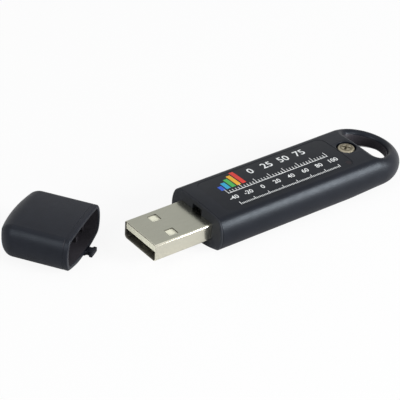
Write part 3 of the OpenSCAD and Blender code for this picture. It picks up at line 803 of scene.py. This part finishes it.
# (radius, height over the seat) points from the middle of the dome down to the shank's end
SCREW_PROFILE = [(0, 1.1), (0.6, 1.085), (1.2, 1.04), (1.6, 0.975), (1.85, 0.90), (2.0, 0.80),
                 (2.07, 0.68), (2.1, 0.52), (2.1, 0.06), (2.04, 0.0), (1.0, 0.0), (1.0, -4.42),
                 (0.92, -4.5), (0, -4.5)]
screw = combine(turned(SCREW_PROFILE, 72), [recess_wing(35), recess_wing(125)])
screw.transform(Matrix.Translation(Vector((SCREW_X, 0, SEAT_Z))))
# The recess faces take the darker zinc, which is painted shade
piece("case_screw_head", screw, "logger", screw_metal, ["case_screw"], 28,
      others=[(screw_recess_painted_shade, in_recess)])


# Plug
def plug_shell():
    """Folded shell with rounded mouth edges, its solder tabs and a seam along the underside."""
    seam_half_w = 0.04
    tab_low, tab_top = 4.2, 6.2
    outer = [(PLUG_TIP, 0.10), (PLUG_TIP + 0.04, 0.035), (PLUG_TIP + 0.12, 0.0), (PLUG_REAR, 0.0)]
    inner = [(PLUG_REAR, PLUG_WALL), (PLUG_TIP + 0.5, PLUG_WALL),
             (PLUG_TIP + 0.15, PLUG_WALL - 0.05), (PLUG_TIP, PLUG_WALL - 0.12)]
    rings = [[(x, y, z) for y, z in plug_outline(d)] for x, d in outer + inner]
    shell = solid("shell", *skin(rings + rings[:1], False, False))
    cuts = []
    for y in (-LATCH_Y, LATCH_Y):
        hole = round_box(LATCH_X - LATCH_L / 2, y - LATCH_W / 2, LATCH_X + LATCH_L / 2,
                         y + LATCH_W / 2, LATCH_R, 4)
        cuts.append(prism(hole, -1, 12))
    cuts.append(block((PLUG_TIP - 1, -seam_half_w, 2), (PLUG_REAR + 1, seam_half_w, 3.2)))
    tabs = []
    for side in (-1, 1):
        y = side * (PLUG_W - PLUG_WALL) / 2
        tab = block((PLUG_REAR - PLUG_WALL, y - PLUG_WALL / 2, tab_low),
                    (PLUG_REAR + PLUG_IN, y + PLUG_WALL / 2, tab_top))
        tabs.append(beveled(tab, 0.05))
    return joined("plug", combine(shell, cuts), *tabs)


def inside_plug(c, n):
    """Faces that look at the middle of the plug."""
    reach = max(abs(c.y) - PLUG_W / 2, abs(c.z - PLUG_Z) - PLUG_H / 2)
    return reach < -0.2 and n.y * c.y + n.z * (c.z - PLUG_Z) < 0 and abs(n.x) < 0.7


def latch_wall(c, n):
    """Cut edges of the sheet in the two upper latch windows."""
    near = abs(c.x - LATCH_X) < LATCH_L / 2 + 0.1 and abs(abs(c.y) - LATCH_Y) < LATCH_W / 2 + 0.1
    return near and c.z > PLUG_Z and abs(n.z) < 0.5


# The faces this picks take the darker nickel, which is painted shade
def plug_top(c, n):
    """The plug's flat upper face."""
    return n.z > 0.98


# The plug's inside and latch window edges take painted shade nickel, and its top a darker nickel that
# is painted shade too
piece("plug_shell_folded", plug_shell(), "logger", nickel, ["usb_shell"], 32,
      others=[(nickel_painted_shade, inside_plug), (nickel_painted_shade, latch_wall), (nickel_top_painted_shade, plug_top)])


# Cap
def cap_ring(x, d):
    """Ring of the cap, set in by d. Towards the closed end the middle stands out and the sides
    fall back, so that the end is a little round in plan."""
    near_end = max(0, (CAP_BOW_RUN - CAP_L - x) / CAP_BOW_RUN)
    back = CAP_BOW * near_end ** 2
    return [(x + back * ((2 * y / CASE_W) ** 2 - BOW_SHARE), y, z) for y, z in section(d)]


def cap_end(d, turns):
    """Rings round the closed end of the shell's outside, or of its hollow set in by d."""
    r = CAP_END - d
    return [cap_ring(-CAP_L + CAP_END - r * sin(a), d + r * (1 - cos(a))) for a in turns]


def cap_shell():
    """Shell from its closed end out to the mouth and back in to the end of its hollow."""
    lip, inner_lip = 0.3, 0.2
    shallow_line = ((-1.28, 0), (-1.18, 0.07), (-1.06, 0.07), (-0.96, 0))
    rings = cap_end(0, reversed(spread(0, 90, 16)))
    rings += [cap_ring(x, d) for x, d in shallow_line]
    rings += [cap_ring(-lip * (1 - sin(a)), lip * (1 - cos(a))) for a in (0, 20, 40, 60, 80, 90)]
    rings += [cap_ring(-inner_lip * (1 - cos(a)), CAP_WALL - inner_lip * (1 - sin(a)))
              for a in (0, 30, 60, 90)]
    rings += cap_end(CAP_WALL, spread(0, 90, 12))
    return solid("cap", *skin(rings))


def cap_ribs():
    """Ribs that hold the plug on both sides, above and below."""
    grip_y = PLUG_W / 2 + FIT
    low, high = PLUG_Z - PLUG_H / 2 - FIT, PLUG_Z + PLUG_H / 2 + FIT
    end_places = ((0.55, 3.2), (1.4, 1.9), (2.4, 1.2), (3.6, 0.6))
    places = [(-CAP_L + x, d) for x, d in end_places] + [(RIB_X - 0.4, 0.6), (RIB_X, 0.9)]
    room = solid("room", *skin([cap_ring(x, d) for x, d in places]))
    walls = [block((-CAP_L, y, 0), (RIB_X, y + RIB_T, CASE_H)) for y in (-grip_y - RIB_T, grip_y)]
    walls += [block((-CAP_L, y - RIB_T / 2, z0), (RIB_X, y + RIB_T / 2, z1))
              for y in (-RIB_Y, RIB_Y) for z0, z1 in ((0, low), (high, CASE_H))]
    return [combine(wall, [room], "INTERSECT") for wall in walls]


def latch_tab():
    """T-shaped tab in the curve of the cap's floor, with rounded undercuts."""
    head_y, bite, corner = TAB_HEAD / 2, (TAB_HEAD - TAB_NECK) / 2, 0.12
    half = [(-1.0, head_y), (0.0, head_y)]
    half += arc(TAB_L / 2 - bite / 2, head_y, bite, 180, 360, 12)
    half += arc(TAB_L - corner, head_y - corner, corner, 90, 0, 3)
    outline = [(x, TAB_Y + y) for x, y in half] + [(x, TAB_Y - y) for x, y in reversed(half)]
    clean = outline[:1]
    for p in outline[1:]:
        if math.dist(p, clean[-1]) > 1e-4:
            clean.append(p)

    def floor(y):
        flat = REST_W / 2
        centre = belly_centre(CASE_W / 2 - LEAN, flat, BELLY)
        round_z = centre - math.sqrt(max(flat ** 2 + centre ** 2 - y * y, 0))
        return PRESS + (0 if abs(y) < flat else round_z)

    ys = spread(-4, 4, 32)
    loop = [(y, floor(y)) for y in ys] + [(y, CAP_WALL - 0.05) for y in reversed(ys)]
    slab = along_x(loop, -1.1, TAB_L + 1)
    return beveled(combine(prism(clean, -1, 5), [slab], "INTERSECT"), 0.08, 50)


def inside_cap(c, n):
    """Faces well below the cap's outside that look at its middle line or its mouth."""
    depth = max(abs(c.y) - CASE_W / 2, abs(c.z - CASE_H / 2) - CASE_H / 2)
    inward = n.y * c.y + n.z * (c.z - CASE_H / 2) < -0.1
    return c.x < -0.25 and depth < -0.6 and (inward or n.x > 0.3)


lying = Matrix.Translation(CAP_AT) @ Matrix.Rotation(CAP_TURN, 4, "Z")
cap = joined("cap", cap_shell(), latch_tab(), *cap_ribs())
# The faces inside the cap take the lighter plastic, which is painted light
piece("cap_moulded", cap, "cap", cap_plastic, ["cap_shell"], 32, at=lying,
      others=[(cap_inside_painted_light, inside_cap)])


# Finishes of the CAD nodes that stay as they are
FINISHES = {
    "usb_tongue": cream, "usb_contacts": gold, "threaded_insert": brass, "light_pipe": window,
    "circuit_board": green_board, "microcontroller": resin, "memory_chip": resin,
    "voltage_regulator": resin, "surge_diode": resin, "crystal": tin, "thermistor": sensor,
    "red_led": red_lens, "green_led": green_lens, "resistors": glaze, "capacitors": ceramic,
    "coin_cell": cell_steel, "battery_clip": strip_steel, "battery_contact": strip_steel,
}
for node, finish in FINISHES.items():
    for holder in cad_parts[node].material_slots:
        holder.material = finish


# Floor, light and camera
LAMP_TARGET = Vector((0, 0, 0.005))


def floor_material(name, shade, glow):
    """Pale matt floor that the camera sees partly as plain white, so its shadows stay faint."""
    made = bpy.data.materials.new(name)
    made.use_nodes = True
    tree = made.node_tree
    link = tree.links.new
    matt = tree.nodes["Principled BSDF"]
    matt.inputs["Roughness"].default_value = 0.9
    matt.inputs["Specular IOR Level"].default_value = 0.1
    cloud = add_node(tree, "TexNoise", {"Scale": 4})
    pale = color_mix(tree, cloud.outputs["Fac"], (shade * 0.985,) * 3, (shade,) * 3)
    rays = add_node(tree, "LightPath")
    share = add_node(tree, "Math", {1: glow})
    share.operation = "MULTIPLY"
    white = add_node(tree, "Emission")
    blend = add_node(tree, "MixShader")
    link(pale, matt.inputs["Base Color"])
    link(rays.outputs["Is Camera Ray"], share.inputs[0])
    link(share.outputs[0], blend.inputs[0])
    link(matt.outputs[0], blend.inputs[1])
    link(white.outputs[0], blend.inputs[2])
    link(blend.outputs[0], tree.nodes["Material Output"].inputs[0])
    return made


def floor_plane(half, below):
    """Square floor just under the flat that the case rests on, in metres."""
    corners = [(-half, -half, 0), (half, -half, 0), (half, half, 0), (-half, half, 0)]
    mesh = mesh_of("floor", corners, [(0, 1, 2, 3)])
    mesh.materials.append(floor_material("floor_pale", shade=0.90, glow=0.90))
    floor = add_object("floor", mesh)
    floor.location.z = -below


def studio_world(strength):
    """Even soft light. The camera, reflections and glass see plain white instead."""
    world = bpy.data.worlds.new("studio")
    world.use_nodes = True
    bpy.context.scene.world = world
    tree = world.node_tree
    link = tree.links.new
    tree.nodes.clear()
    out = add_node(tree, "OutputWorld")
    light = add_node(tree, "Background", {"Color": (0.95, 0.97, 1.0, 1), "Strength": strength})
    white = add_node(tree, "Background", {"Strength": 1.0})
    rays = add_node(tree, "LightPath")
    pick = add_node(tree, "MixShader")
    seen = rays.outputs["Is Camera Ray"]
    for kind in ("Is Glossy Ray", "Is Transmission Ray"):
        either = add_node(tree, "Math")
        either.operation = "MAXIMUM"
        link(seen, either.inputs[0])
        link(rays.outputs[kind], either.inputs[1])
        seen = either.outputs[0]
    link(seen, pick.inputs[0])
    link(light.outputs[0], pick.inputs[1])
    link(white.outputs[0], pick.inputs[2])
    link(pick.outputs[0], out.inputs[0])


def area_lamp(name, at, size, power):
    """Rectangular lamp that points at the object. Places and sizes are in metres."""
    lamp = bpy.data.lights.new(name, "AREA")
    lamp.shape = "RECTANGLE"
    lamp.size, lamp.size_y = size
    lamp.energy = power
    holder = add_object(name, lamp)
    holder.location = at
    holder.rotation_mode = "QUATERNION"
    holder.rotation_quaternion = (LAMP_TARGET - Vector(at)).to_track_quat("-Z", "Y")


floor_plane(half=3, below=0.00002)
studio_world(strength=0.28)
area_lamp("key_right", at=(0.355, -0.62, 0.25), size=(0.35, 0.42), power=8.5)
area_lamp("fill_left", at=(-0.65, -0.15, 0.35), size=(0.4, 0.4), power=1.8)
area_lamp("top_soft", at=(-0.1, 0.1, 0.8), size=(0.7, 0.7), power=0.8)

# Camera at the photograph's viewing angle
VIEW_FROM = Vector((-0.26287, -0.29547, 0.260995))
VIEW_RIGHT = Vector((0.80138294, -0.59633331, 0.04660435))
VIEW_UP = Vector((0.29989256, 0.46797823, 0.83130068))
camera = bpy.data.cameras.new("camera")
camera.sensor_width = 36
camera.lens = 179.2
camera.clip_start = 0.01
camera.clip_end = 10
view = add_object("camera", camera)
pose = Matrix((VIEW_RIGHT, VIEW_UP, VIEW_RIGHT.cross(VIEW_UP))).transposed().to_4x4()
pose.translation = VIEW_FROM
view.matrix_world = pose
bpy.context.scene.camera = view
bpy.context.scene.view_settings.view_transform = "Standard"
